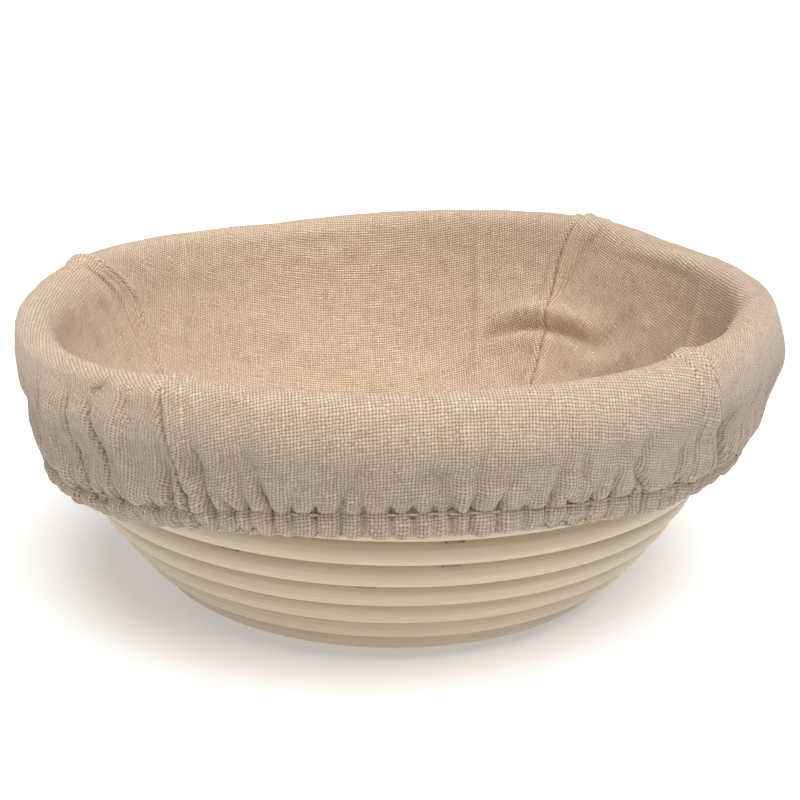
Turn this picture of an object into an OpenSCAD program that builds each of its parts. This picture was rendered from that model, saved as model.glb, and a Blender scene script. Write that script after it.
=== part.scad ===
// Round proving basket for bread dough: a bowl wound from round rattan cane and held by wire
// staples, with a washable cloth liner that an elastic hem holds over the rim.
// Millimetres. +Z is up and the origin is the centre of the underside, on the table.
// Seen from above, the cane winds out and up clockwise.

/* [Basket] */
// Outer diameter of the top turn of cane
rim_d = 220; // [212:1:228]
// Height of the bare basket at the cane's upper end
basket_h = 90; // [86:1:92]
// Diameter of the cane
cane_d = 8.7; // [8.3:0.1:8.9]
// Free space between neighbouring turns
turn_gap = 0.25; // [0.2:0.05:0.4]
// Slope of the wall where it leaves the base, from the horizontal
low_slope = 43; // [40:1:46]
// Slope of the wall at the rim
rim_slope = 81; // [79:1:83]
// Bend radius between the base and the wall
corner_r = 20; // [18:1:22]
// Depth sanded off the underside so that the basket stands flat
sanding = 0.3; // [0.2:0.1:0.5]
// Direction in which the cane's upper end lies
end_azimuth = -26; // [-180:1:180]

/* [Staples] */
// Distance between staples along the cane
staple_step = 55; // [45:1:80]
// Diameter of the staple wire
wire_d = 0.7; // [0.6:0.1:0.9]
// Width of a staple
crown_w = 5; // [4:0.5:6]
// Length of a staple's legs
leg_l = 12; // [10:0.5:13]
// How far the staples lie outside the cane's centre line
staple_out = 2; // [2:0.1:2.5]

/* [Liner] */
// Thickness of the cloth
cloth = 1; // [0.8:0.1:1.2]
// Free space between the cloth and the cane
fit = 0.4; // [0.35:0.05:0.5]
// How far down the wall from the rim the hem's stitch line lies
hem_top_drop = 25.5; // [24:0.5:27]
// How far down the wall from the rim the hem ends
hem_end_drop = 33.5; // [32:0.5:35]
// How far the skirt bulges beyond a straight drop from the rim
skirt_bulge = 9; // [6:0.5:10]
// Thickness of the gathered hem
hem_t = 4; // [3.5:0.1:5]
// Width of the elastic
elastic_w = 5; // [4:0.5:5]
// Thickness of the elastic
elastic_t = 1; // [0.8:0.1:1.2]
// Diameter of the sewing thread
thread_d = 0.5; // [0.4:0.05:0.6]
// Number of stitches round the hem
hem_stitches = 120; // [90:10:150]
// Directions of the four darts
dart_azimuths = [54, 150, 240, 317]; // [0:1:359]
// Distance between stitches along a dart
dart_step = 7; // [5:1:10]

/* [Hidden] */

// Half turns in the whole winding, and those at which the two wall lengths of cane begin
half_turns = 33;
lower_start = 14;
upper_start = 24;
pitch = cane_d + turn_gap;
half_pitch = pitch / 2;
// Lengths of the bevels at a splice and at the rim's end, and the gap between spliced ends
splice_l = 30;
taper_l = 40;
join_gap = 0.1;
reach_angle = 0.3;
thinning = 0.12;
// How far the cane reaches along half a bevel, which leaves its tip blunt
tip_share = 0.85;
nail_d = 1;
nail_head_d = 2;
nail_l = 7.5;
leg_inset = 1;
// The crown's thickness and the legs' reach above its middle, as shares of the wire's diameter
crown_share = 0.86;
corner_share = 0.56;
channel_gap = 0.15;
stitch_share = 0.6;

// The cane's centre line in section: a flat base, a corner, and a wall that steepens evenly
base_z = cane_d / 2 - sanding;
rim_r = rim_d / 2 - cane_d / 2;
rim_z = basket_h - cane_d / 2;
wall_r = (rim_z - base_z) / (cos(low_slope) - cos(rim_slope));
wall_centre = [rim_r - wall_r * sin(rim_slope), rim_z + wall_r * cos(rim_slope)];
corner_rise = wall_centre[1] - base_z - corner_r;
corner_slope = acos(corner_rise / (wall_r - corner_r));
flat_r = wall_centre[0] + (wall_r - corner_r) * sin(corner_slope);
corner_l = corner_r * corner_slope * PI / 180;
rim_s = corner_l + wall_r * (rim_slope - corner_slope) * PI / 180;

// Slope of the centre line at a distance s along it from the flat base's edge
function slope(s) = s < 0 ? 0
    : s < corner_l ? s / corner_r * 180 / PI
    : corner_slope + (s - corner_l) / wall_r * 180 / PI;
// Distance from the axis and height there
function centre(s) = s < 0 ? [flat_r + s, base_z]
    : s < corner_l ? [flat_r, base_z + corner_r] + corner_r * [sin(slope(s)), -cos(slope(s))]
    : wall_centre + wall_r * [sin(slope(s)), -cos(slope(s))];
// The same, moved out from the centre line
function beside(s, out) = centre(s) + out * [sin(slope(s)), -cos(slope(s))];
// Place of the winding after k half turns
function place(k) = rim_s - (half_turns - k) * half_pitch;

// Each half turn is a true circular arc, tilted and shifted so that it runs smoothly into the next
function turn_r(k) = let(a = centre(place(k)), b = centre(place(k + 1)))
    norm([a[0] + b[0], b[1] - a[1]]) / 2;
module in_half_turn(k) {
    a = centre(place(k));
    b = centre(place(k + 1));
    rotate([0, 0, end_azimuth + (half_turns - k) * 180])
        translate([(a[0] - b[0]) / 2, 0, (a[1] + b[1]) / 2])
            rotate([0, atan2(b[1] - a[1], a[0] + b[0]), 0])
                children();
}
// Every other half turn is a hair thinner and reaches a little way into its neighbours
module arc(k, from, to) {
    odd = k % 2;
    in_half_turn(k)
        rotate_extrude(angle = to - from + 2 * odd * reach_angle, start = -to - odd * reach_angle, $fn = 96)
            translate([turn_r(k), 0]) circle(d = cane_d - odd * thinning, $fn = 32);
}
// A frame on the cane: x up the wall, y back along the cane, z into the bowl
module on_cane(k, angle)
    in_half_turn(k)
        rotate([0, 0, -angle])
            translate([turn_r(k), 0, 0])
                rotate([0, -slope(place(k + angle / 180)), 0])
                    children();

// Block that cuts a bevel; keep = 1 leaves the outer piece and -1 the inner one
module bevel(length, keep, roll)
    rotate([0, roll, 0])
        rotate([-atan(cane_d / length), 0, 0])
            translate([-cane_d, -length, keep > 0 ? -join_gap / 2 : join_gap / 2 - 2 * cane_d])
                cube([2 * cane_d, 2 * length, 2 * cane_d]);
function lap(k, length) = length / 2 * tip_share / turn_r(k) * 180 / PI;

// Half turn k that starts on the bevel of the length before it
module spliced_start(k)
    difference() {
        arc(k, -lap(k, splice_l), 180);
        on_cane(k, 0) bevel(splice_l, 1, 0);
    }
// Half turn k that ends under the bevel of the length after it
module spliced_end(k)
    difference() {
        arc(k, 0, 180 + lap(k, splice_l));
        on_cane(k, 180) bevel(splice_l, -1, 0);
    }
module tapered_end(k)
    difference() {
        arc(k, 0, 180);
        on_cane(k, 180 - lap(k, taper_l)) bevel(taper_l, -1, -90);
    }

module base_cane()
    color("#dcc7a3")
        difference() {
            union() {
                for (k = [0 : lower_start - 2]) arc(k, 0, 180);
                spliced_end(lower_start - 1);
            }
            translate([0, 0, -cane_d]) cylinder(r = rim_r, h = cane_d, $fn = 96);
        }

module lower_wall_cane()
    color("#e0cba8") {
        spliced_start(lower_start);
        for (k = [lower_start + 1 : upper_start - 2]) arc(k, 0, 180);
        spliced_end(upper_start - 1);
    }

module upper_wall_cane()
    color("#dec9a6") {
        spliced_start(upper_start);
        for (k = [upper_start + 1 : half_turns - 2]) arc(k, 0, 180);
        tapered_end(half_turns - 1);
    }

// Position relative to the centre line at s, up the wall and into the bowl
function in_section(s, at_s, out) = let(v = beside(at_s, out) - centre(s), a = slope(s))
    [v[0] * cos(a) + v[1] * sin(a), v[1] * cos(a) - v[0] * sin(a)];
// The crown lies in the groove above a turn, and the legs go through it into the turn below.
// Along the rim no turn lies above, and the crown is sunk to half its thickness.
module staple(s, rise) {
    crown = in_section(s, s + rise, staple_out);
    tip = in_section(s, s - pitch, -leg_inset);
    translate([crown[0], 0, crown[1]]) {
        rotate([90, 0, 0])
            cylinder(d = wire_d * crown_share, h = crown_w - wire_d, center = true, $fn = 16);
        for (y = [-1, 1])
            translate([0, y * (crown_w - wire_d) / 2, 0])
                rotate([0, atan2(tip[0] - crown[0], tip[1] - crown[1]), 0])
                    translate([0, 0, -wire_d * corner_share])
                        cylinder(d = wire_d, h = leg_l + wire_d * corner_share, $fn = 16);
    }
}
function staple_count(k) = floor(PI * turn_r(k) / staple_step);
module staples(first, last, left_out, rise)
    for (k = [first : last])
        for (i = [0 : staple_count(k) - 1 - left_out])
            let(angle = 180 * (i + 0.5) / staple_count(k))
                on_cane(k, angle) staple(place(k + angle / 180), rise);
module base_staples() color("#6f6a62") staples(3, lower_start - 1, 0, half_pitch);
module lower_wall_staples() color("#6f6a62") staples(lower_start, upper_start - 1, 0, half_pitch);
module upper_wall_staples() color("#6f6a62") staples(upper_start, half_turns - 3, 0, half_pitch);
module rim_staples()
    color("#6f6a62") {
        sunk = sqrt(pow(cane_d / 2, 2) - pow(staple_out, 2));
        staples(half_turns - 2, half_turns - 2, 0, sunk);
        staples(half_turns - 1, half_turns - 1, 2, sunk);
    }

// Two nails through each splice, heads outside, and one that holds the tapered end down
module nail()
    translate([0, 0, -cane_d / 2]) {
        cylinder(d = nail_d, h = nail_l, $fn = 24);
        translate([0, 0, -nail_d / 4]) cylinder(d = nail_head_d, h = nail_d / 2, $fn = 24);
    }
module splice_nails()
    color("#6f6a62") {
        for (k = [lower_start, upper_start])
            for (along = [-1, 1])
                on_cane(k, 0) translate([0, along * splice_l / 5, 0]) nail();
        on_cane(half_turns - 1, 180 - 2 * lap(half_turns - 1, taper_l)) nail();
    }

// The liner
near = cane_d / 2 + fit;
far = near + cloth;
section_step = 4;
arc_step = 9;
// Outline of cloth that lines the bowl and wraps over the rim to its widest point
function lining(out) = [
    [0, base_z + out],
    for (s = [0 : section_step : rim_s - 1]) beside(s, -out),
    for (a = [rim_slope + 90 : -arc_step : 1]) [rim_r, rim_z] + out * [cos(a), sin(a)],
    [rim_r + out, rim_z]
];
function reversed(points) = [for (i = [len(points) - 1 : -1 : 0]) points[i]];

module liner_bowl()
    color("#c6ad94")
        rotate_extrude($fn = 120)
            polygon(concat(lining(near), reversed(lining(far))));

// The skirt hangs from the rim, bulges and comes in to the hem
hem_top_s = rim_s - hem_top_drop;
hem_end_s = rim_s - hem_end_drop;
skirt_top = [rim_r + near, rim_z];
skirt_end = beside(hem_top_s, near + hem_t - 2 * cloth);
skirt_full = [skirt_top + [skirt_bulge / 2, -8], skirt_end + [skirt_bulge, 6]];
skirt_steps = 12;
function skirt_point(t) = pow(1 - t, 3) * skirt_top + 3 * t * pow(1 - t, 2) * skirt_full[0]
    + 3 * t * t * (1 - t) * skirt_full[1] + pow(t, 3) * skirt_end;
function skirt_way(t) = let(ahead = skirt_point(t + 0.01) - skirt_point(t - 0.01)) ahead / norm(ahead);
function skirt_outside(t) = skirt_point(t) + cloth * [-skirt_way(t)[1], skirt_way(t)[0]];
module liner_skirt()
    color("#b7a088")
        rotate_extrude($fn = 120)
            polygon([
                for (i = [0 : skirt_steps]) skirt_point(i / skirt_steps),
                beside(hem_top_s, near + hem_t),
                for (i = [skirt_steps - 1 : -1 : 1]) skirt_outside(i / skirt_steps),
                skirt_top + [cloth, 0]
            ]);

// A strip round the wall between two distances along it and two distances out from it
module wall_band(from_s, to_s, from_out, to_out)
    rotate_extrude($fn = 120)
        polygon([
            beside(from_s, from_out), beside(to_s, from_out),
            beside(to_s, to_out), beside(from_s, to_out)
        ]);
elastic_s = (hem_top_s + hem_end_s) / 2;
elastic_out = near + (hem_t - elastic_t) / 2;
module hem_casing()
    color("#b7a088")
        difference() {
            wall_band(hem_end_s, hem_top_s, near, near + hem_t);
            wall_band(
                elastic_s - elastic_w / 2 - channel_gap, elastic_s + elastic_w / 2 + channel_gap,
                elastic_out - channel_gap, elastic_out + elastic_t + channel_gap
            );
        }
module hem_elastic()
    color("#f2efe8")
        wall_band(
            elastic_s - elastic_w / 2, elastic_s + elastic_w / 2,
            elastic_out, elastic_out + elastic_t
        );

module stitch(length)
    rotate([90, 0, 0]) cylinder(d = thread_d, h = length, center = true, $fn = 16);
module hem_thread()
    color("#cbb79f") {
        seam = beside(hem_top_s - thread_d * 1.5, near + hem_t);
        for (i = [0 : hem_stitches - 1])
            rotate([0, 0, 360 * i / hem_stitches])
                translate([seam[0], 0, seam[1]])
                    stitch(2 * PI * seam[0] / hem_stitches * stitch_share);
    }
module dart_threads()
    color("#cbb79f")
        for (a = dart_azimuths, s = [corner_l : dart_step : rim_s - dart_step]) {
            mid = beside(s, -near - cloth / 2);
            rotate([0, 0, a])
                translate([mid[0], 0, mid[1]])
                    rotate([0, -slope(s), 0])
                        rotate([0, 0, 90]) stitch(dart_step * stitch_share);
        }

base_cane();
lower_wall_cane();
upper_wall_cane();
base_staples();
lower_wall_staples();
upper_wall_staples();
rim_staples();
splice_nails();
liner_bowl();
liner_skirt();
hem_casing();
hem_elastic();
hem_thread();
dart_threads();
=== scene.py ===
"""Looks for the round proving basket: wound rattan cane and a gathered linen liner over its rim.

Metres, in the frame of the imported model. Winding and wall follow the same formulas as the part's source.
"""

import math

import bpy
import numpy as np
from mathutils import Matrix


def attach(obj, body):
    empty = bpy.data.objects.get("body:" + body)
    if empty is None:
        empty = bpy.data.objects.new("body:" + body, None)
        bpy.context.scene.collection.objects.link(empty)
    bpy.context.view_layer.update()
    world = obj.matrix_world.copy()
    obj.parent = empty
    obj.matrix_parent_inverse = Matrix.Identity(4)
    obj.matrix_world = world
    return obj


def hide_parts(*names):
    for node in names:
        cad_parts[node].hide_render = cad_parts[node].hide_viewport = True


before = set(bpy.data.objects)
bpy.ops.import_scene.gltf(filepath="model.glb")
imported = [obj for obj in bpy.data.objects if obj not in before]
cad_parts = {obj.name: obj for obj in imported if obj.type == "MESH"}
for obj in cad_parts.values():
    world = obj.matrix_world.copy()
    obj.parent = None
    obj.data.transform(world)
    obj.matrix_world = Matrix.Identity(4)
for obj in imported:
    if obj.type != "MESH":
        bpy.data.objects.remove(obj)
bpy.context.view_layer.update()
MM = 0.001
TAU = 2 * math.pi


# ---------------------------------------------------------------- the basket's wall, in millimetres
RIM_D, BASKET_H, CANE_D, TURN_GAP = 220, 90, 8.7, 0.25
LOW_SLOPE, RIM_SLOPE = math.radians(43), math.radians(81)
CORNER_R, SANDING, END_AZIMUTH, HALF_TURNS = 20, 0.3, -26, 33
SPLICES = (14, 24)
PITCH = CANE_D + TURN_GAP
BASE_Z = CANE_D / 2 - SANDING
RIM_R, RIM_Z = RIM_D / 2 - CANE_D / 2, BASKET_H - CANE_D / 2
WALL_R = (RIM_Z - BASE_Z) / (math.cos(LOW_SLOPE) - math.cos(RIM_SLOPE))
WALL_X, WALL_Z = RIM_R - WALL_R * math.sin(RIM_SLOPE), RIM_Z + WALL_R * math.cos(RIM_SLOPE)
CORNER_SLOPE = math.acos((WALL_Z - BASE_Z - CORNER_R) / (WALL_R - CORNER_R))
FLAT_R = WALL_X + (WALL_R - CORNER_R) * math.sin(CORNER_SLOPE)
CORNER_L = CORNER_R * CORNER_SLOPE
RIM_S = CORNER_L + WALL_R * (RIM_SLOPE - CORNER_SLOPE)
FIT = 0.4
NEAR = CANE_D / 2 + FIT


def slope(s):
    s = np.asarray(s, float)
    on_wall = CORNER_SLOPE + (s - CORNER_L) / WALL_R
    return np.where(s < 0, 0, np.where(s < CORNER_L, s / CORNER_R, on_wall))


def beside(s, out):
    """Distance from the axis and height, at distance s up the wall and out from the cane's centre line."""
    s = np.asarray(s, float)
    a = slope(s)
    in_corner = s < CORNER_L
    r = np.where(in_corner, FLAT_R + CORNER_R * np.sin(a), WALL_X + WALL_R * np.sin(a))
    z = np.where(in_corner, BASE_Z + CORNER_R * (1 - np.cos(a)), WALL_Z - WALL_R * np.cos(a))
    r, z = np.where(s < 0, FLAT_R + s, r), np.where(s < 0, BASE_Z, z)
    return r + out * np.sin(a), z - out * np.cos(a)


def place(w):
    return RIM_S - (HALF_TURNS - w) * PITCH / 2


# ---------------------------------------------------------------- small helpers
def wave_noise(seed, period, terms):
    """A smooth random function of azimuth in turns, with mean 0 and a spread of about 1."""
    own = np.random.default_rng(seed)
    counts = own.integers(max(1, period // 2), period * 2, terms)
    phases, sizes = own.uniform(0, TAU, terms), own.uniform(0.5, 1, terms)
    sizes = sizes / math.sqrt((sizes**2).sum() / 2)
    return lambda t: sum(a * np.cos(TAU * n * t + p) for n, p, a in zip(counts, phases, sizes))


def grid_noise(seed, shape, cells):
    """Smooth random bumps over a grid, periodic along the first axis."""
    own = np.random.default_rng(seed)
    coarse = own.normal(0, 1, (cells[0], cells[1] + 3))
    u = np.linspace(0, cells[0], shape[0], endpoint=False)
    v = np.linspace(0, cells[1], shape[1])

    def weights(x):
        f = x - np.floor(x)
        return np.stack([(1 - f) ** 3, 3 * f**3 - 6 * f**2 + 4, -3 * f**3 + 3 * f**2 + 3 * f + 1, f**3], -1) / 6

    iu, wu, iv, wv = np.floor(u).astype(int), weights(u), np.floor(v).astype(int), weights(v)
    rows = sum(wu[:, k, None] * coarse[(iu + k) % cells[0]] for k in range(4))
    cols = [np.clip(iv + k, 0, cells[1] + 2) for k in range(4)]
    return sum(wv[None, :, k] * rows[:, cols[k]] for k in range(4)) * 1.6


def smooth(x, low, high):
    t = np.clip((np.asarray(x, float) - low) / (high - low), 0, 1)
    return t * t * (3 - 2 * t)


def periodic(points):
    """A smooth function of azimuth in degrees through a few given heights."""
    az = np.array([p[0] for p in points], float)
    v = np.array([p[1] for p in points], float)
    az = np.concatenate([az - 360, az, az + 360])
    v = np.concatenate([v, v, v])
    fine = np.arange(-180, 541, 1.0)
    values = np.interp(fine, az, v)
    kernel = np.exp(-0.5 * (np.arange(-24, 25) / 7.0) ** 2)
    values = np.convolve(values, kernel / kernel.sum(), mode="same")
    return lambda a: np.interp(np.mod(a, 360), fine, values)


# ---------------------------------------------------------------- camera
camera = bpy.data.objects.new("camera", bpy.data.cameras.new("camera"))
camera.data.sensor_width, camera.data.lens, camera.data.shift_x = 36, 71.05, 0.007
camera.location = (0, -0.45726, 0.2021)
camera.rotation_euler = (math.radians(71.98), 0, math.radians(-0.12))
bpy.context.scene.collection.objects.link(camera)
bpy.context.scene.camera = camera


# ---------------------------------------------------------------- materials
class Nodes:
    """Short calls for building one material's nodes."""

    def __init__(self, name):
        self.material = bpy.data.materials.new(name)
        self.material.use_nodes = True
        self.tree = self.material.node_tree
        self.shader = self.tree.nodes["Principled BSDF"]

    def add(self, kind, values=(), **settings):
        node = self.tree.nodes.new(kind)
        for key, value in settings.items():
            setattr(node, key, value)
        for key, value in dict(values).items():
            if isinstance(value, bpy.types.NodeSocket):
                self.tree.links.new(value, node.inputs[key])
            else:
                node.inputs[key].default_value = value
        return node

    def math(self, operation, a, b=0.0, c=0.0, clamp=False):
        return self.add("ShaderNodeMath", {0: a, 1: b, 2: c}, operation=operation, use_clamp=clamp).outputs[0]

    def mix(self, share, a, b, blend="MIX"):
        node = self.add("ShaderNodeMix", data_type="RGBA", blend_type=blend)
        for key, value in ((0, share), (6, a), (7, b)):
            if isinstance(value, bpy.types.NodeSocket):
                self.tree.links.new(value, node.inputs[key])
            else:
                node.inputs[key].default_value = value
        return node.outputs[2]

    def noise(self, vector, scale, detail=3.0, rough=0.55):
        values = {"Vector": vector, "Scale": scale, "Detail": detail, "Roughness": rough}
        return self.add("ShaderNodeTexNoise", values).outputs[0]

    def ramp(self, value, low, high, a=0.0, b=1.0):
        return self.add("ShaderNodeMapRange", {0: value, 1: low, 2: high, 3: a, 4: b}, clamp=True).outputs[0]

    def scaled(self, vector, factors):
        return self.add("ShaderNodeVectorMath", {0: vector, 1: factors}, operation="MULTIPLY").outputs[0]

    def out(self, socket, value):
        if isinstance(value, bpy.types.NodeSocket):
            self.tree.links.new(value, self.shader.inputs[socket])
        else:
            self.shader.inputs[socket].default_value = value


def rgb(r, g, b):
    """Linear colour from sRGB 0 to 255."""
    return tuple(((c / 255 + 0.055) / 1.055) ** 2.4 if c > 10 else c / 255 / 12.92 for c in (r, g, b)) + (1.0,)


def cane_material(name, tone):
    """Peeled rattan: long fibres and pores along the length, faint patches of colour."""
    n = Nodes(name)
    uv = n.add("ShaderNodeUVMap", uv_map="Threads").outputs[0]
    long_fibre = n.noise(n.scaled(uv, (18, 1400, 1)), 1.0, 4.0, 0.6)
    fine_fibre = n.noise(n.scaled(uv, (60, 4200, 1)), 1.0, 3.0, 0.6)
    pores = n.noise(n.scaled(uv, (110, 3600, 1)), 1.0, 1.0, 0.4)
    patches = n.noise(n.scaled(uv, (14, 60, 1)), 1.0, 2.0, 0.5)

    def toned(*levels):
        return rgb(*[c * tone for c in levels])

    colour = n.mix(n.ramp(long_fibre, 0.25, 0.75), toned(184, 166, 142), toned(202, 186, 163))
    colour = n.mix(n.ramp(patches, 0.52, 0.75, 0, 0.35), colour, toned(190, 160, 133))
    colour = n.mix(n.ramp(pores, 0.68, 0.76, 0, 0.35), colour, rgb(166, 136, 100))
    n.out("Base Color", colour)
    n.out("Roughness", n.ramp(fine_fibre, 0.3, 0.7, 0.42, 0.6))
    height = n.math("ADD", n.math("MULTIPLY", long_fibre, 0.7), n.math("MULTIPLY", fine_fibre, 0.3))
    bump = n.add("ShaderNodeBump", {"Height": height, "Strength": 0.22, "Distance": 0.0002})
    n.out("Normal", bump.outputs[0])
    n.out("Sheen Weight", 0.05)
    n.out("Coat Weight", 0.0)
    return n.material


THREAD_PITCH = 0.84 * MM


def linen_material():
    """Coarse unbleached plain weave: warp over weft, uneven thread thickness and colour, slubs and flecks."""
    n = Nodes("linen_weave")
    uv = n.add("ShaderNodeUVMap", uv_map="Threads").outputs[0]
    wobble = n.add("ShaderNodeTexNoise", {"Vector": uv, "Scale": 260.0, "Detail": 2.0}).outputs[1]
    moved = n.add("ShaderNodeVectorMath", {0: wobble, 1: (0.5, 0.5, 0.5)}, operation="SUBTRACT").outputs[0]
    moved = n.scaled(moved, (0.0009, 0.0009, 0))
    uv = n.add("ShaderNodeVectorMath", {0: uv, 1: moved}, operation="ADD").outputs[0]
    parts = n.add("ShaderNodeSeparateXYZ", {0: uv})
    u = n.math("DIVIDE", parts.outputs[0], THREAD_PITCH)
    v = n.math("DIVIDE", parts.outputs[1], THREAD_PITCH)
    su, sv = n.math("SINE", n.math("MULTIPLY", u, math.pi)), n.math("SINE", n.math("MULTIPLY", v, math.pi))
    au, av = n.math("ABSOLUTE", su), n.math("ABSOLUTE", sv)
    over = n.math("GREATER_THAN", n.math("MULTIPLY", su, sv), 0.0)
    warp_height = n.math("MULTIPLY", n.math("POWER", au, 0.55), n.math("POWER", av, 0.9))
    weft_height = n.math("MULTIPLY", n.math("POWER", av, 0.55), n.math("POWER", au, 0.9))
    height = n.math(
        "ADD", n.math("MULTIPLY", over, warp_height), n.math("MULTIPLY", n.math("SUBTRACT", 1.0, over), weft_height)
    )
    warp_at = {0: n.math("FLOOR", u), 1: n.math("MULTIPLY", v, 0.10), 2: 3.0}
    weft_at = {0: n.math("MULTIPLY", u, 0.10), 1: n.math("FLOOR", v), 2: 9.0}
    warp_at, weft_at = (n.add("ShaderNodeCombineXYZ", place_on).outputs[0] for place_on in (warp_at, weft_at))
    warp_tone, weft_tone = n.noise(warp_at, 1.0, 2.0), n.noise(weft_at, 1.0, 2.0)
    under = n.math("SUBTRACT", 1.0, over)
    tone = n.math("ADD", n.math("MULTIPLY", over, warp_tone), n.math("MULTIPLY", under, weft_tone))
    colour = n.mix(n.ramp(tone, 0.28, 0.72), rgb(184, 158, 134), rgb(230, 206, 182))
    fleck = n.noise(n.scaled(uv, (900, 900, 1)), 1.0, 2.0, 0.5)
    colour = n.mix(n.ramp(fleck, 0.60, 0.72, 0, 0.4), colour, rgb(236, 221, 202))
    aside = n.add("ShaderNodeVectorMath", {0: uv, 1: (0.7, 0.3, 0)}, operation="ADD").outputs[0]
    speck = n.noise(aside, 1100.0, 1.0, 0.4)
    colour = n.mix(n.ramp(speck, 0.64, 0.73, 0, 0.45), colour, rgb(128, 102, 80))
    # painted shade: dark pinholes where four threads meet, and a faint painted shade line in the hollows between
    # neighbours
    corner = n.math("MULTIPLY", n.math("SUBTRACT", 1.0, au), n.math("SUBTRACT", 1.0, av))
    painted_gap_shade = n.math("MULTIPLY", n.ramp(corner, 0.10, 0.60, 1.04, 0.40), n.ramp(height, 0.04, 0.55, 0.80, 1.0))
    shade = n.add("ShaderNodeCombineXYZ", {0: painted_gap_shade, 1: painted_gap_shade, 2: painted_gap_shade}).outputs[0]
    colour = n.mix(1.0, colour, shade, "MULTIPLY")
    # painted light and shade: the inside is painted paler and the skirt painted darker and greyer, in place of how
    # the light falls on them
    reach = n.add("ShaderNodeVectorMath", {0: uv}, operation="LENGTH").outputs["Value"]
    painted_skirt_shade_share = n.ramp(reach, 0.150, 0.172)
    colour = n.mix(1.0, colour, n.mix(painted_skirt_shade_share, (1.16, 1.14, 1.13, 1), (0.65, 0.665, 0.68, 1)), "MULTIPLY")
    n.out("Base Color", colour)
    n.out("Roughness", n.ramp(fleck, 0.3, 0.7, 0.84, 0.96))
    whole = n.math("MULTIPLY", height, n.ramp(tone, 0.2, 0.8, 0.7, 1.2))
    whole = n.math("ADD", whole, n.math("MULTIPLY", fleck, 0.25))
    bump = n.add("ShaderNodeBump", {"Height": whole, "Strength": 0.85, "Distance": 0.00028})
    n.out("Normal", bump.outputs[0])
    n.out("Sheen Weight", 0.25)
    n.out("Sheen Roughness", 0.6)
    n.out("Specular IOR Level", 0.25)
    return n.material


def wire_material():
    """Dull drawn steel wire with a little tarnish."""
    n = Nodes("dull_wire")
    where = n.add("ShaderNodeTexCoord").outputs[3]
    tarnish = n.noise(where, 700.0, 4.0, 0.6)
    n.out("Base Color", n.mix(n.ramp(tarnish, 0.35, 0.65), rgb(88, 72, 58), rgb(150, 140, 128)))
    n.out("Metallic", 0.85)
    n.out("Roughness", n.ramp(tarnish, 0.3, 0.7, 0.38, 0.62))
    bump = n.add("ShaderNodeBump", {"Height": tarnish, "Strength": 0.2, "Distance": 0.0001})
    n.out("Normal", bump.outputs[0])
    return n.material


def elastic_material():
    """Braided elastic band: fine ribs round the band."""
    n = Nodes("braided_elastic")
    where = n.add("ShaderNodeTexCoord").outputs[3]
    parts = n.add("ShaderNodeSeparateXYZ", {0: where})
    ribs = n.math("SINE", n.math("MULTIPLY", parts.outputs[2], TAU / 0.0007))
    braid = n.noise(n.scaled(where, (900, 900, 400)), 1.0, 2.0)
    n.out("Base Color", n.mix(n.ramp(braid, 0.35, 0.65), rgb(222, 217, 206), rgb(246, 243, 236)))
    n.out("Roughness", n.ramp(braid, 0.3, 0.7, 0.65, 0.8))
    bump = n.add("ShaderNodeBump", {"Height": ribs, "Strength": 0.4, "Distance": 0.0002})
    n.out("Normal", bump.outputs[0])
    return n.material


def thread_material():
    """Twisted cotton sewing thread."""
    n = Nodes("sewing_thread")
    where = n.add("ShaderNodeTexCoord").outputs[3]
    twist = n.noise(n.scaled(where, (2600, 2600, 2600)), 1.0, 2.0)
    n.out("Base Color", n.mix(n.ramp(twist, 0.35, 0.65), rgb(150, 124, 100), rgb(196, 172, 146)))
    n.out("Roughness", n.ramp(twist, 0.3, 0.7, 0.7, 0.9))
    bump = n.add("ShaderNodeBump", {"Height": twist, "Strength": 0.4, "Distance": 0.0001})
    n.out("Normal", bump.outputs[0])
    n.out("Sheen Weight", 0.2)
    return n.material


# ---------------------------------------------------------------- cane
SIDES, RING_STEP = 28, 1.8
SPLICE_L, TAPER_L, TIP_SHARE = 30, 40, 0.85
# the cane's radius, which leaves neighbouring turns only just apart
FULL = PITCH / 2 - 0.005


def on_path(w):
    """The cane's centre line at path angle w, in half turns: true tilted arcs that run smoothly into each other."""
    k = np.clip(np.floor(w), 0, HALF_TURNS - 1)
    turn = np.pi * (w - k)
    ar, az = beside(place(k), 0)
    br, bz = beside(place(k + 1), 0)
    radius, tilt = np.hypot(ar + br, bz - az) / 2, np.arctan2(bz - az, ar + br)
    x = (ar - br) / 2 + radius * np.cos(turn) * np.cos(tilt)
    y = -radius * np.sin(turn)
    z = (az + bz) / 2 - radius * np.cos(turn) * np.sin(tilt)
    spin = np.radians(END_AZIMUTH + (HALF_TURNS - k) * 180)
    return np.stack([x * np.cos(spin) - y * np.sin(spin), x * np.sin(spin) + y * np.cos(spin), z], -1)


def arc_length(w):
    p = on_path(w)
    return np.concatenate([[0], np.cumsum(np.linalg.norm(np.diff(p, axis=0), axis=1))])


FINE_W = np.linspace(0, HALF_TURNS, HALF_TURNS * 400 + 1)
FINE_L = arc_length(FINE_W)
thickness = wave_noise(5, 40, 12)


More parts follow.
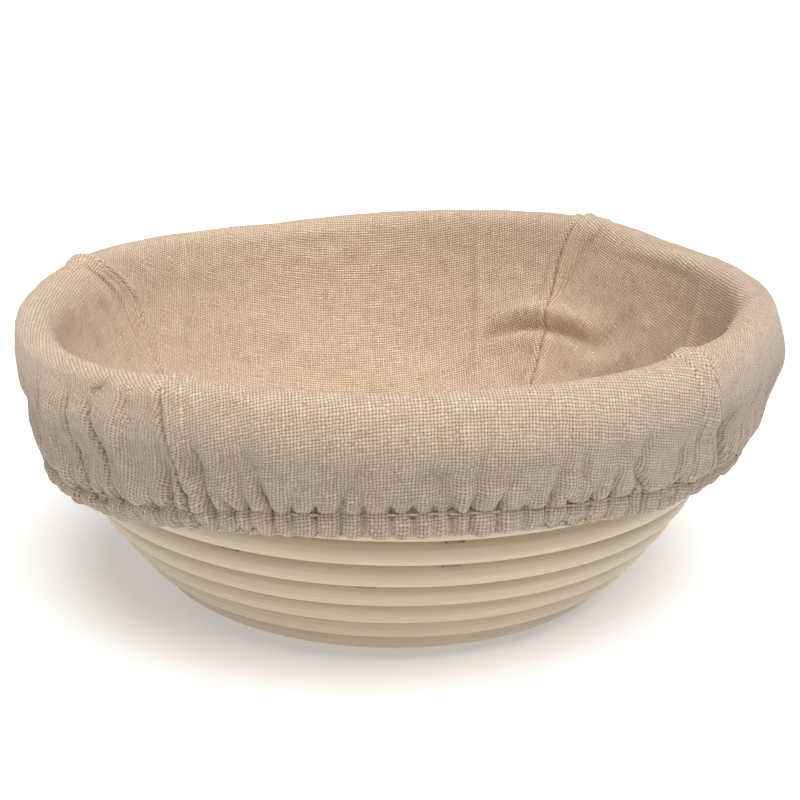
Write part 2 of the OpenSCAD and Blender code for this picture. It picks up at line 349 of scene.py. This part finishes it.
def cane_length(name, first, last, replaced, tone):
    """One length of cane, from half turn first to last, with its bevelled ends."""
    start = np.interp(first, FINE_W, FINE_L) - (SPLICE_L / 2 * TIP_SHARE if first else 0)
    end = np.interp(last, FINE_W, FINE_L) + (SPLICE_L / 2 * TIP_SHARE if last < HALF_TURNS else 0)
    count = int((end - start) / RING_STEP)
    length = np.linspace(start, end, count + 1)
    w = np.interp(length, FINE_L, FINE_W)
    p = on_path(w)
    t = np.gradient(p, axis=0)
    t /= np.linalg.norm(t, axis=1)[:, None]
    k = np.clip(np.floor(w), 0, HALF_TURNS - 1)
    s = place(k) + PITCH / 2 * (1 - np.cos(np.pi * (w - k))) / 2
    a = slope(s)
    radial = p * [1, 1, 0]
    radial /= np.linalg.norm(radial, axis=1)[:, None]
    outward = np.sin(a)[:, None] * radial - np.cos(a)[:, None] * np.array([0, 0, 1])
    outward -= (outward * t).sum(1)[:, None] * t
    outward /= np.linalg.norm(outward, axis=1)[:, None]
    up = np.cross(outward, t)
    up *= np.sign((up * (np.cos(a)[:, None] * radial + np.sin(a)[:, None] * np.array([0, 0, 1]))).sum(1))[:, None]
    around = np.linspace(0, TAU, SIDES, endpoint=False)
    size = FULL + 0.035 * thickness(length / FINE_L[-1])[:, None] + 0.02 * np.cos(2 * around + length[:, None] / 60)
    size = np.minimum(size, FULL)
    x, z = size * np.cos(around), size * np.sin(around)  # up the wall, and into the bowl
    if first:
        back = np.interp(first, FINE_W, FINE_L) - length
        z = np.minimum(z, (-back * CANE_D / SPLICE_L - 0.05)[:, None])
    if last < HALF_TURNS:
        back = np.interp(last, FINE_W, FINE_L) - length
        z = np.maximum(z, (-back * CANE_D / SPLICE_L + 0.05)[:, None])
    else:
        back = end - TAPER_L / 2 * TIP_SHARE - length
        x = np.minimum(x, (back * CANE_D / TAPER_L - 0.05)[:, None])
    points = p[:, None] + x[..., None] * up[:, None] - z[..., None] * outward[:, None]
    points[..., 2] = np.maximum(points[..., 2], 0)
    rings = len(length)
    flat = points.reshape(-1, 3)
    i, j = np.meshgrid(np.arange(rings - 1), np.arange(SIDES), indexing="ij")
    n = (j + 1) % SIDES
    faces = np.stack([i * SIDES + j, i * SIDES + n, (i + 1) * SIDES + n, (i + 1) * SIDES + j], -1).reshape(-1, 4)
    along = length * MM
    round_it = np.arange(SIDES + 1) / SIDES * TAU * FULL * MM
    uv = np.stack(
        [
            np.stack([along[i], round_it[j]], -1),
            np.stack([along[i], round_it[j + 1]], -1),
            np.stack([along[i + 1], round_it[j + 1]], -1),
            np.stack([along[i + 1], round_it[j]], -1),
        ],
        2,
    ).reshape(-1, 2)
    # caps: a middle point at each end, joined to the end's ring by triangles
    base = len(flat)
    flat = np.concatenate([flat, points[0].mean(0)[None], points[-1].mean(0)[None]])
    made = bpy.data.meshes.new(name)
    caps = [(base, (q + 1) % SIDES, q) for q in range(SIDES)]
    caps += [(base + 1, (rings - 1) * SIDES + q, (rings - 1) * SIDES + (q + 1) % SIDES) for q in range(SIDES)]
    made.from_pydata([tuple(q) for q in flat * MM], [], [tuple(f) for f in faces.tolist()] + caps)
    layer = made.uv_layers.new(name="Threads")
    cap_corners = len(caps) * 3
    cap_uv = np.tile([along[0], 0.0], (cap_corners, 1)) + np.random.default_rng(2).uniform(0, 0.004, (cap_corners, 2))
    layer.data.foreach_set("uv", np.concatenate([uv, cap_uv]).astype(np.float32).ravel())
    made.polygons.foreach_set("use_smooth", np.arange(len(made.polygons)) < len(faces))
    o = bpy.data.objects.new(name, made)
    bpy.context.scene.collection.objects.link(o)
    o.data.materials.append(cane_material(name + "_rattan", tone))
    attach(o, "basket")
    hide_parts(replaced)
    return o


cane_length("rattan_base", 0, SPLICES[0], "base_cane", 0.985)
cane_length("rattan_lower_wall", SPLICES[0], SPLICES[1], "lower_wall_cane", 1.0)
cane_length("rattan_upper_wall", SPLICES[1], HALF_TURNS, "upper_wall_cane", 0.99)

wire = wire_material()
for name in ("base_staples", "lower_wall_staples", "upper_wall_staples", "rim_staples", "splice_nails"):
    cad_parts[name].data.materials.clear()
    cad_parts[name].data.materials.append(wire)


# ---------------------------------------------------------------- liner
CLOTH, OFF_CANE = 0.7, 0.2
# a drop in height, as a length along the sloping wall
ALONG_WALL = 1.08
crest_height = periodic([
    (0, 90.9), (20, 90.0), (35, 90.3), (46, 93.0), (56, 93.9), (68, 92.4), (80, 91.6), (92, 90.2), (105, 88.6),
    (120, 87.6), (140, 89.3), (155, 89.0), (168, 86.8), (185, 86.2), (205, 86.6), (218, 86.8), (230, 87.7),
    (245, 89.2), (270, 89.0), (300, 89.3), (315, 90.3), (330, 91.1), (345, 91.6),
])
# how much lower than in front the hem hangs
hem_sag = periodic([
    (0, 5.5), (20, 4), (60, 3), (90, 2.5), (120, 4), (150, 6), (180, 9.5), (200, 11), (215, 9), (228, 6.5),
    (240, 3), (255, 1), (270, 0), (285, 0.5), (300, 1.7), (315, 4.5), (333, 5.5),
])
DARTS = (54, 150, 240, 317)
HEM_S, EDGE_S = RIM_S - 23.4, RIM_S - 30.6


def azimuth_grid(count):
    """Azimuths round the liner, closer together beside the darts, with a column exactly on each."""
    a = np.linspace(0, 360, 7201)
    density = np.ones_like(a)
    for d in DARTS:
        x = np.mod(a - d + 180, 360) - 180
        density += 1.6 * np.exp(-0.5 * (x / 2.6) ** 2)
    total = np.concatenate([[0], np.cumsum((density[1:] + density[:-1]) / 2)])
    total /= total[-1]
    grid = np.interp(np.linspace(0, 1, count, endpoint=False), total, a)
    for d in DARTS:
        grid[np.argmin(np.abs(grid - d))] = d
    return grid


def section(az):
    """Control points of the liner's outline at each azimuth, from the middle to the hem's inner fold."""
    n, rows, turn, sag = len(az), [], az / 360, hem_sag(az)

    def put(r, z):
        rows.append(np.stack([np.broadcast_to(r, n), np.broadcast_to(z, n)], -1))

    for r in (0.0, 8.0, 18.0, 28.0, 38.0, 46.0):
        put(r, BASE_Z + NEAR + CLOTH / 2 + 0.05)
    for s in (-2.0, 4.0, 10.0, 16.0, 24.0, 33.0, 42.0, 51.0, 60.0, 69.0, 78.0, 86.0, 93.5):
        loose = 0.35 + 0.6 * float(smooth(s, -5, 10) * (1 - smooth(s, 20, 45)))
        put(*beside(s, -(NEAR + CLOTH / 2 + loose)))
    top = crest_height(az) - CLOTH / 2
    lean = 0.3 * wave_noise(12, 5, 5)(turn) + 1.3 * smooth(np.cos(np.radians(az - 5)), 0.3, 1)
    put(RIM_R - 4.0 + lean * 0.4, top - 2.5)
    put(RIM_R - 0.2 + lean, top)
    put(RIM_R + 3.7 + lean, top - 1.7)
    full = 1.9 * np.cos(np.radians(az)) + 0.6 * wave_noise(23, 6, 6)(turn)
    put(110.8 + 0.7 * full, top - 6.0)
    wide = np.stack([112.2 + full, 76.0 - 0.25 * sag], -1)
    put(wide[:, 0], wide[:, 1])
    r, z = beside(HEM_S - sag * ALONG_WALL, NEAR + 3.7)
    seam = np.stack([r, z], -1)
    for share, bulge in ((0.36, 0.4), (0.70, 0.9), (0.90, 1.0)):
        p = wide + share * (seam - wide)
        put(p[:, 0] + bulge, p[:, 1])
    put(seam[:, 0], seam[:, 1])
    for drop, out in ((2.6, 5.2), (5.2, 5.0)):
        put(*beside(HEM_S - sag * ALONG_WALL - drop, NEAR + out))
    edge = EDGE_S - sag * ALONG_WALL
    put(*beside(edge, NEAR + 3.9))
    put(*beside(edge - 0.5, NEAR + 1.7))
    put(*beside(HEM_S - sag * ALONG_WALL - 3.6, NEAR + 0.8))
    put(*beside(HEM_S - sag * ALONG_WALL, NEAR + 1.3))
    put(*beside(HEM_S - sag * ALONG_WALL + 1.8, NEAR + 1.8))
    return np.stack(rows, 1)


def catmull(points, per):
    """A smooth curve through control points on axis 1, with per[i] steps between points i and i+1."""
    ends = np.concatenate([2 * points[:, :1] - points[:, 1:2], points, 2 * points[:, -1:] - points[:, -2:-1]], 1)
    out = []
    for i, steps in enumerate(per):
        p0, p1, p2, p3 = (ends[:, i + q][:, None] for q in range(4))
        t = (np.arange(steps) / steps)[None, :, None]
        square, cube = 2 * p0 - 5 * p1 + 4 * p2 - p3, 3 * p1 - p0 - 3 * p2 + p3
        out.append(0.5 * (2 * p1 + (p2 - p0) * t + square * t**2 + cube * t**3))
    out.append(points[:, -1:])
    return np.concatenate(out, 1)


COLUMNS = 1400
AZ = azimuth_grid(COLUMNS)
CONTROL = section(AZ)
# how finely each span between control points is divided
SPANS = [3, 3, 3, 4, 4, 5] + [4, 4, 5, 6, 7, 7, 7, 7, 7, 7, 6, 6]
SPANS += [6, 5, 5, 5, 6] + [8, 8, 6, 4, 6, 6, 5, 4, 5, 5, 3]
MARK = np.concatenate([[0], np.cumsum(SPANS)])
CREST, STITCH, EDGE = MARK[20], MARK[27], MARK[30]
PROFILE = catmull(CONTROL, SPANS)
ROWS = PROFILE.shape[1]
ROW = np.arange(ROWS)[None, :]
STEPS = np.linalg.norm(np.diff(PROFILE, axis=1), axis=2)
S = np.concatenate([np.zeros((COLUMNS, 1)), np.cumsum(STEPS, axis=1)], axis=1)
RADIUS, HEIGHT = PROFILE[..., 0], PROFILE[..., 1]
PAST_CREST = S - S[:, CREST][:, None]
PAST_STITCH = S - S[:, STITCH][:, None]


def turned(azimuth, origin):
    """Degrees from origin to azimuth, from -180 to 180."""
    return np.mod(azimuth - origin + 180, 360) - 180


def drift():
    """How far in azimuth each place moves, so that the darts run a little slanted: (column, row), in degrees."""
    moved = np.zeros_like(S)
    at_crest = np.exp(-0.5 * (np.clip(-PAST_CREST, 0, None) / 9) ** 2) * (PAST_CREST < 30)
    outside = smooth(PAST_CREST, 0, 45)
    for d, crest, hem in zip(DARTS, (-2.6, 8.0, -0.8, -1.0), (3.0, -6.0, 2.8, 1.0)):
        near_it = np.exp(-0.5 * (turned(AZ, d) / 14) ** 2)[:, None]
        moved += near_it * (crest * at_crest * (1 - outside) + hem * outside)
    return moved


AZIMUTH = AZ[:, None] + drift()


def softness():
    """The cloth's own unevenness, its darts and the cloth folded beside them. Positive stands away from the cane."""
    d = np.zeros_like(S)
    inside = smooth(-PAST_CREST, -4, 6) * smooth(S, 45, 80)
    on_skirt = smooth(PAST_CREST, 3, 14)
    d += inside * (0.40 * grid_noise(3, S.shape, (26, 14)) + 0.16 * grid_noise(4, S.shape, (70, 34)))
    d += on_skirt * (0.55 * grid_noise(6, S.shape, (34, 22)) + 0.28 * grid_noise(7, S.shape, (90, 48)))
    d += 0.10 * grid_noise(8, S.shape, (150, 80)) * smooth(S, 20, 50)
    for i, dart in enumerate(DARTS):
        x = np.radians(turned(AZ, dart))[:, None] * RADIUS
        reach = smooth(S, 66, 84) * (1 - smooth(ROW, STITCH - 3, STITCH + 1))
        d += reach * (-1.3 * np.exp(-((x / 0.55) ** 2)) + 0.6 * np.exp(-(((np.abs(x) - 2.0) / 1.3) ** 2)))
        side = -1 if i in (0, 3) else 1
        if i == 0:
            width = np.interp(HEIGHT, [60, 92], [0.6, 12.5]) * (ROW <= CREST) + 7 * (ROW > CREST)
        else:
            width = 6.5 * np.ones_like(S)
        fold = smooth(side * x, 0.4, 1.5) * (1 - smooth(side * x, width - 0.7, width + 0.7))
        d += reach * 0.85 * fold
    return d


def gathers():
    """Valleys that the elastic draws into the hem, deepest at the stitch line."""
    own = np.random.default_rng(77)
    above, under = np.clip(-PAST_STITCH, 0, None), np.clip(PAST_STITCH, 0, None)
    d, angle = np.zeros_like(S), 0.0
    while angle < 358.6:
        length = own.choice([4.0, 7.0, 11.0, 17.0], p=[0.25, 0.33, 0.27, 0.15])
        depth, slant, narrow = own.uniform(0.6, 1.0), own.normal(0, 0.22), own.uniform(0.75, 1.15)
        offset = turned(AZ, angle)
        cols = np.abs(offset) < 10
        x = np.radians(offset[cols])[:, None] * RADIUS[cols]
        width = narrow * (1 + above[cols] * 0.13) + 0.06 * under[cols]
        valley = np.exp(-(((x - slant * above[cols]) / width) ** 2))
        fall = np.exp(-((above[cols] / length) ** 1.5)) * np.where(under[cols] > 0, 0.8, 1.0)
        d[cols] -= (1.9 + length * 0.085) * depth * valley * fall
        angle += own.uniform(2.2, 3.9)
    d += 0.9 * np.exp(-(((above - 5) / 5.0) ** 2)) * (above > 0)
    return d


def on_cloth(az, z, outer):
    """The point of the cloth's outline at that azimuth and height, outside or inside the basket."""
    column = int(np.argmin(np.abs(turned(AZ, az))))
    rows = slice(CREST, STITCH + 4) if outer else slice(8, CREST)
    heights, radii = HEIGHT[column, rows], RADIUS[column, rows]
    order = np.argsort(heights)
    r = np.interp(z, heights[order], radii[order])
    return r * math.cos(math.radians(az)), r * math.sin(math.radians(az)), z


# folds in the cloth: azimuth and height of points along each, half width, and height above the cloth
OUTER_FOLDS = (
    (((230, 86), (226.5, 80), (226.4, 73), (228, 64), (229, 54)), 1.0, -2.8),
    (((233, 85), (231, 76), (232, 62), (233, 54)), 2.6, 1.8),
    (((232.8, 84), (234, 77)), 1.0, -1.2),
    (((222, 82), (221, 70), (223, 50)), 1.3, -1.9),
    (((218, 80), (216.5, 66), (218, 48)), 2.4, 1.9),
    (((214, 82), (212, 66), (213, 46)), 1.4, -1.9),
    (((206, 78), (205, 62), (207, 45)), 1.5, -1.6),
    (((198, 80), (197, 60), (199, 44)), 1.6, -1.5),
    (((244, 76), (246, 56)), 1.5, -1.1),
    (((252, 82), (251, 66)), 2.2, -0.6),
    (((263, 72), (264, 58)), 1.8, -0.8),
    (((279, 84), (279.4, 60)), 2.2, 0.9),
    (((276, 74), (276.5, 58)), 1.5, -0.9),
    (((294, 76), (295, 58)), 1.7, -0.9),
    (((305, 80), (303, 68), (305, 54)), 1.6, -1.2),
    (((311, 72), (312, 52)), 1.5, -1.4),
    (((323, 74), (322, 62), (323.5, 48)), 1.5, -2.0),
    (((330, 78), (328, 62), (330, 48)), 1.6, -1.7),
    (((340, 80), (339, 50)), 1.8, -1.3),
    (((355, 78), (354, 50)), 2.0, -1.2),
    (((18, 78), (19, 52)), 2.0, -1.1),
    (((42, 80), (40, 54)), 1.8, -1.3),
    (((70, 78), (71, 54)), 2.0, -1.0),
    (((98, 78), (97, 54)), 2.0, -1.1),
    (((126, 80), (127, 54)), 1.9, -1.2),
    (((146, 78), (143, 50)), 1.6, -1.6),
    (((168, 80), (167, 48)), 1.8, -1.4),
    (((184, 78), (185, 46)), 1.8, -1.5),
)
INNER_FOLDS = (
    (((70, 50), (60, 57), (50, 59), (38, 57)), 9.0, 1.7),
    (((67, 49.5), (61, 53.5), (55, 55), (47, 54.5), (39, 53)), 2.0, -2.1),
    (((66, 56), (58, 61), (48, 60.5), (40, 58.5)), 2.4, 1.2),
    (((39, 53), (36, 58), (33, 66)), 2.2, -1.3),
    (((30, 52), (28, 60), (27, 70)), 4.5, 1.2),
    (((44, 46), (36, 48), (26, 56)), 4.0, 1.1),
    (((45.6, 90), (48.7, 81.7), (52, 67)), 0.9, -0.8),
    (((103, 86), (103.4, 60), (104.7, 34)), 1.6, 0.75),
    (((72, 88), (70.4, 60), (68.7, 36)), 1.6, 0.85),
    (((162, 84), (158, 68), (156, 50)), 2.4, 1.0),
    (((168, 82), (165, 62)), 2.2, 0.8),
    (((134, 84), (138, 66), (143, 46)), 2.6, 0.8),
    (((14, 84), (10, 60), (8, 40)), 2.6, 0.9),
    (((350, 82), (348, 50)), 3.0, 0.8),
    (((195, 80), (199, 48)), 2.8, 0.8),
    (((225, 80), (222, 48)), 3.0, 0.8),
    (((268, 80), (266, 46)), 3.0, 0.8),
    (((300, 80), (303, 48)), 3.0, 0.8),
)


def folds():
    d = np.zeros_like(S)
    a = np.radians(AZIMUTH)
    base = np.stack([RADIUS * np.cos(a), RADIUS * np.sin(a), HEIGHT], -1)
    for outer, group in ((True, OUTER_FOLDS), (False, INNER_FOLDS)):
        rows = slice(CREST + 2, ROWS) if outer else slice(6, CREST - 2)
        for marks, width, height in group:
            knots = np.array(marks, float)
            curve = catmull(knots[None], [12] * (len(knots) - 1))[0]
            share = np.linspace(0, 1, len(curve))
            line = np.array([on_cloth(q[0], q[1], outer) for q in curve])
            middle = knots[:, 0].mean()
            spread = np.ptp(knots[:, 0]) / 2 + math.degrees(3.2 * width / 90) + 3
            cols = np.where(np.abs(turned(AZ, middle)) < spread + 6)[0]
            block = base[cols, rows]
            gap = np.linalg.norm(block[:, :, None] - line[None, None], axis=3)
            nearest = gap.argmin(2)
            distance = np.take_along_axis(gap, nearest[..., None], 2)[..., 0]
            k = share[nearest]
            ends = 0.25 + 0.75 * smooth(k, 0, 0.25) * (1 - (0.0 if outer else 1.0) * smooth(k, 0.75, 1))
            d[cols, rows] += height * np.exp(-((distance / width) ** 2)) * ends
    return d


def surface_normals(p):
    n = np.cross(np.gradient(p, axis=1), np.roll(p, -1, 0) - np.roll(p, 1, 0))
    n /= np.maximum(np.linalg.norm(n, axis=2), 1e-9)[..., None]
    if n[0, CREST // 2, 2] < 0:
        n = -n
    n[:, 0] = [0, 0, 1]
    return n


def off_the_cane(p):
    """Pushes every point out to at least the cane's radius and half the cloth from each turn of the spiral."""
    az = np.degrees(np.arctan2(p[..., 1], p[..., 0]))
    r, z = np.hypot(p[..., 0], p[..., 1]), p[..., 2].copy()
    limit = CANE_D / 2 + CLOTH / 2 + OFF_CANE
    for back in range(HALF_TURNS // 2 + 1):
        w = HALF_TURNS - np.mod(az - END_AZIMUTH, 360) / 180 - 2 * back
        cr, cz = beside(place(w), 0)
        dr, dz = r - cr, z - cz
        gap = np.maximum(np.hypot(dr, dz), 1e-6)
        push = np.where((gap < limit) & (w > 0.4), limit / gap, 1.0)
        r, z = cr + dr * push, cz + dz * push
    a = np.radians(az)
    return np.stack([r * np.cos(a), r * np.sin(a), z], -1)


def cloth_points():
    a = np.radians(AZIMUTH)
    p = np.stack([RADIUS * np.cos(a), RADIUS * np.sin(a), HEIGHT], -1)
    pleats = gathers()
    out = softness() + pleats + folds()
    # the casing's inner fold lies smooth on the cane, and no cloth sinks into the cane or the elastic
    out = out * (1 - smooth(ROW, EDGE - 1, EDGE + 3))
    lowest = np.where(ROW <= STITCH + 2, -2.0, -1.9)
    lowest = np.where(ROW <= CREST + 4, -0.45, np.where(ROW < STITCH - 4, -4.2, lowest))
    out = np.maximum(out, lowest) * smooth(S, 4, 12)
    p = p + out[..., None] * surface_normals(p)
    p = off_the_cane(p)
    # the edge of the hem is scalloped by the same pleats
    along = np.gradient(p, axis=1)
    along /= np.maximum(np.linalg.norm(along, axis=2), 1e-9)[..., None]
    wave = (pleats[:, STITCH] + 1.4)[:, None] * 0.42
    bell = np.exp(-(((ROW - EDGE) / 7.0) ** 2))
    p = p + (wave * bell)[..., None] * np.where(ROW <= EDGE, 1, -1)[..., None] * along
    p[:, 0] = p[:, 0].mean(0)
    return p


POINTS = cloth_points()


def flat_places():
    """Where each place lies on the flat cloth, in metres, in each panel between two darts."""
    both = []
    for i in range(4):
        middle = DARTS[i] + np.mod(DARTS[(i + 1) % 4] - DARTS[i], 360) / 2
        x = turned(AZIMUTH, middle)
        angle = np.radians(middle + x * RADIUS / np.maximum(S, 1e-6) - 8)
        both.append(np.stack([S * np.cos(angle), S * np.sin(angle)], -1) * MM)
    return np.stack(both)


def build_liner():
    flat = flat_places()
    rows = ROWS - 1
    points = np.concatenate([POINTS[:, 1:].reshape(-1, 3), POINTS[0, 0][None]])
    i, j = np.meshgrid(np.arange(COLUMNS), np.arange(rows - 1), indexing="ij")
    n = (i + 1) % COLUMNS
    quads = np.stack([i * rows + j, i * rows + j + 1, n * rows + j + 1, n * rows + j], -1).reshape(-1, 4)
    past_first = np.mod(AZ + 0.01 - DARTS[0], 360)
    panel = np.searchsorted(np.mod(np.array(DARTS) - DARTS[0], 360), past_first, side="right") - 1
    cols, corner_rows = np.stack([i, i, n, n], -1), np.stack([j + 1, j + 2, j + 2, j + 1], -1)
    uv = flat[panel[i][..., None], cols, corner_rows].reshape(-1, 2)
    hub = len(points) - 1
    fans = [(hub, c * rows, ((c + 1) % COLUMNS) * rows) for c in range(COLUMNS)]
    mesh = bpy.data.meshes.new("linen_liner")
    mesh.from_pydata((points * MM).tolist(), [], quads.tolist() + fans)
    layer = mesh.uv_layers.new(name="Threads")
    nxt = (np.arange(COLUMNS) + 1) % COLUMNS
    own = np.arange(COLUMNS)
    fan_uv = np.stack([np.zeros((COLUMNS, 2)), flat[panel, own, 1], flat[panel, nxt, 1]], 1).reshape(-1, 2)
    layer.data.foreach_set("uv", np.concatenate([uv, fan_uv]).astype(np.float32).ravel())
    mesh.polygons.foreach_set("use_smooth", np.full(len(mesh.polygons), True))
    o = bpy.data.objects.new("linen_liner", mesh)
    bpy.context.scene.collection.objects.link(o)
    thick = o.modifiers.new("thickness", "SOLIDIFY")
    thick.thickness, thick.offset, thick.use_even_offset = CLOTH * MM, 0, False
    return o


liner = build_liner()
liner.data.materials.append(linen_material())
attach(liner, "liner")
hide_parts("liner_bowl", "liner_skirt", "hem_casing")


def build_elastic():
    """The flat band inside the casing, a little wavy where it is gathered: a rounded strip round the wall."""
    count, corners = 720, 12
    az = np.linspace(0, 360, count, endpoint=False)
    sag = hem_sag(az) * ALONG_WALL
    ripple = 0.12 * np.cos(np.radians(az) * 110)
    points = []
    for q in range(corners):
        angle = TAU * (q + 0.5) / corners
        up = 1.7 * np.sign(math.cos(angle)) * abs(math.cos(angle)) ** 0.4
        out = 0.28 * np.sign(math.sin(angle)) * abs(math.sin(angle)) ** 0.6
        r, z = beside(HEM_S - sag - 3.8 + up, NEAR + 2.35 + out + ripple * 0.4)
        points.append(np.stack([r * np.cos(np.radians(az)), r * np.sin(np.radians(az)), z], -1))
    points = np.stack(points, 1).reshape(-1, 3)
    i, j = np.meshgrid(np.arange(count), np.arange(corners), indexing="ij")
    a, b = (i + 1) % count, (j + 1) % corners
    faces = np.stack([i * corners + j, i * corners + b, a * corners + b, a * corners + j], -1).reshape(-1, 4)
    mesh = bpy.data.meshes.new("elastic_band")
    mesh.from_pydata((points * MM).tolist(), [], faces.tolist())
    mesh.polygons.foreach_set("use_smooth", np.full(len(mesh.polygons), True))
    o = bpy.data.objects.new("elastic_band", mesh)
    bpy.context.scene.collection.objects.link(o)
    return o


elastic = build_elastic()
elastic.data.materials.append(elastic_material())
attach(elastic, "liner")
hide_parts("hem_elastic")


# ---------------------------------------------------------------- stitches
def stitch_mesh(name, pairs, lifts, diameter, replaced):
    """Short rounded stitches between pairs of points, bowed a little up out of the cloth."""
    verts, faces = [], []
    ring, segments = 8, 7
    for (a, b), lift in zip(pairs, lifts):
        a, b, lift = np.array(a), np.array(b), np.array(lift)
        t = b - a
        span = np.linalg.norm(t)
        t = t / span
        side = np.cross(lift, t)
        side /= np.linalg.norm(side)
        first = len(verts)
        for q in range(segments + 1):
            f = q / segments
            swell = math.sqrt(max(0.0, 1 - (2 * f - 1) ** 4)) * diameter / 2 + 0.01
            middle = a + t * span * f + lift * (math.sin(math.pi * f) * diameter * 0.45 - diameter * 0.1)
            for g in range(ring):
                c, s = math.cos(TAU * g / ring), math.sin(TAU * g / ring)
                verts.append(tuple((middle + swell * (c * side + s * lift)) * MM))
        for q in range(segments):
            for g in range(ring):
                h = (g + 1) % ring
                lower, upper = first + q * ring, first + (q + 1) * ring
                faces.append((lower + g, lower + h, upper + h, upper + g))
        faces.append(tuple(first + g for g in reversed(range(ring))))
        faces.append(tuple(first + segments * ring + g for g in range(ring)))
    mesh = bpy.data.meshes.new(name)
    mesh.from_pydata(verts, [], faces)
    mesh.polygons.foreach_set("use_smooth", np.full(len(mesh.polygons), True))
    o = bpy.data.objects.new(name, mesh)
    bpy.context.scene.collection.objects.link(o)
    o.data.materials.append(THREAD)
    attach(o, "liner")
    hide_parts(replaced)
    return o


THREAD = thread_material()
FACING = surface_normals(POINTS)


def at(column, row):
    """A point on the cloth's outer face and its outward direction, at a fractional column."""
    c0 = int(math.floor(column)) % COLUMNS
    c1, f = (c0 + 1) % COLUMNS, column - math.floor(column)
    p = POINTS[c0, row] * (1 - f) + POINTS[c1, row] * f
    n = FACING[c0, row] * (1 - f) + FACING[c1, row] * f
    n = n / np.linalg.norm(n)
    return p + n * CLOTH / 2, n


hem_row, hem_count, hem_thread_d, dart_thread_d = STITCH + 1, 150, 0.5, 0.42
dart_step, dart_stitch = 4.2, 2.4
pairs, lifts = [], []
for q in range(hem_count):
    start = q * COLUMNS / hem_count
    (a, na), (b, nb) = at(start + 0.6, hem_row), at(start + COLUMNS / hem_count - 1.6, hem_row)
    pairs.append((a, b))
    lifts.append((na + nb) / np.linalg.norm(na + nb))
hem_stitches = stitch_mesh("hem_stitches", pairs, lifts, hem_thread_d, "hem_thread")

pairs, lifts = [], []
for dart in DARTS:
    column = int(np.argmin(np.abs(AZ - dart)))
    rows = [r for r in range(MARK[8], CREST - 2)]
    lengths = S[column, rows]
    for s0 in np.arange(lengths[0], lengths[-1] - 3, dart_step):
        r0, r1 = (int(rows[np.argmin(np.abs(lengths - x))]) for x in (s0, s0 + dart_stitch))
        if r1 > r0:
            (a, na), (b, nb) = at(column, r0), at(column, r1)
            pairs.append((a, b))
            lifts.append((na + nb) / np.linalg.norm(na + nb))
dart_stitches = stitch_mesh("dart_stitches", pairs, lifts, dart_thread_d, "dart_threads")


# ---------------------------------------------------------------- floor and light
GROUND_VALUE, GROUND_GLOW = 0.93, 0.30
SUN_STRENGTH, ROOM_LIGHT, BACKDROP = 3.4, 0.24, 1.0


def pale_material(name, value):
    n = Nodes(name)
    where = n.add("ShaderNodeTexCoord").outputs[3]
    soft = n.noise(where, 3.0, 2.0)
    n.out("Base Color", n.mix(soft, (value, value, value, 1), (value * 0.995, value * 0.995, value * 0.99, 1)))
    n.out("Roughness", 0.9)
    n.out("Specular IOR Level", 0.1)
    return n.material


bpy.ops.mesh.primitive_plane_add(size=12, location=(0, 2.0, -0.0002))
ground = bpy.context.object
ground.name = "ground"
ground.data.materials.append(pale_material("pale_ground", GROUND_VALUE))
glow = ground.data.materials[0].node_tree.nodes["Principled BSDF"]
glow.inputs["Emission Color"].default_value = (1, 1, 1, 1)
glow.inputs["Emission Strength"].default_value = GROUND_GLOW

sun = bpy.data.lights.new("overhead", "SUN")
sun.energy, sun.angle, sun.color = SUN_STRENGTH, math.radians(50), (1, 0.99, 0.975)
sun_object = bpy.data.objects.new("overhead", sun)
sun_object.rotation_euler = (math.radians(20), math.radians(9), 0)
bpy.context.scene.collection.objects.link(sun_object)
world = bpy.data.worlds.new("soft_room")
world.use_nodes = True
# the room's light is dim beside the lamp's, but the backdrop itself is seen as white
sky, sky_nodes = world.node_tree.nodes["Background"], world.node_tree.nodes
sky.inputs[0].default_value = (1, 1, 1, 1)
seen = sky_nodes.new("ShaderNodeLightPath").outputs["Is Camera Ray"]
level = sky_nodes.new("ShaderNodeMapRange")
level.inputs[3].default_value, level.inputs[4].default_value = ROOM_LIGHT, BACKDROP
world.node_tree.links.new(seen, level.inputs[0])
world.node_tree.links.new(level.outputs[0], sky.inputs[1])
bpy.context.scene.world = world
bpy.context.scene.view_settings.view_transform = "Standard"
bpy.context.scene.view_settings.look = "None"
